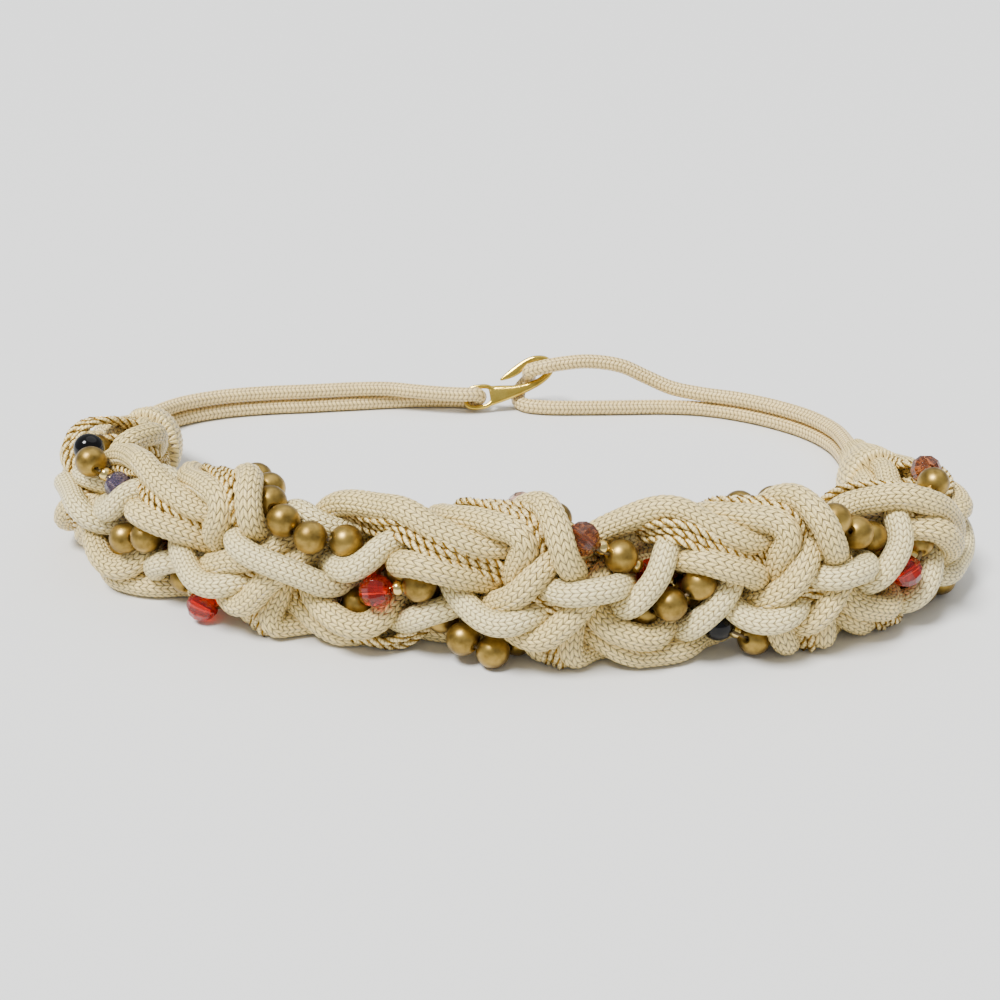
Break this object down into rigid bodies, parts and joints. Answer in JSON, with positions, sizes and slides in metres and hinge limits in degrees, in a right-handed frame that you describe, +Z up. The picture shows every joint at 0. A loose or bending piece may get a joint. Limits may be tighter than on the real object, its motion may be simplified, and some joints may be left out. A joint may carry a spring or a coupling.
{
  "type": "rope belt",
  "caption": "Plaited cream rope belt with beads and metallic cord, knitted end sleeves, herringbone back cords and a gold hook, closed in a loop.",
  "frame": {"origin": "centre of the bounding box in plan, on the surface the belt stands on", "axes": "+X to the right along the plaited front, +Y from the plaited front to the hook at the back, +Z up, across the width of the belt"},
  "size_m": [0.3062, 0.2326, 0.0507],
  "materials": {
    "satin_rope": "satin",
    "knit_rope": "satin",
    "back_cord": "satin",
    "gold_bead": "satin",
    "jewel_bead": "gloss",
    "hook_metal": "polished"
  },
  "bodies": {
    "root": {"satin_rope_1": "satin_rope", "satin_rope_2": "satin_rope", "satin_rope_3": "satin_rope", "satin_rope_4": "satin_rope", "knit_rope_1": "knit_rope", "knit_rope_2": "knit_rope", "knit_rope_3": "knit_rope", "knit_rope_4": "knit_rope", "wrap_rope_1": "knit_rope", "wrap_rope_2": "knit_rope", "end_sleeve_left": "knit_rope", "end_sleeve_right": "knit_rope", "gold_bead_string": "gold_bead", "jewel_bead_string": "jewel_bead", "back_cord_left": "back_cord", "back_cord_right": "back_cord", "hook": "hook_metal"}
  },
  "joints": []
}
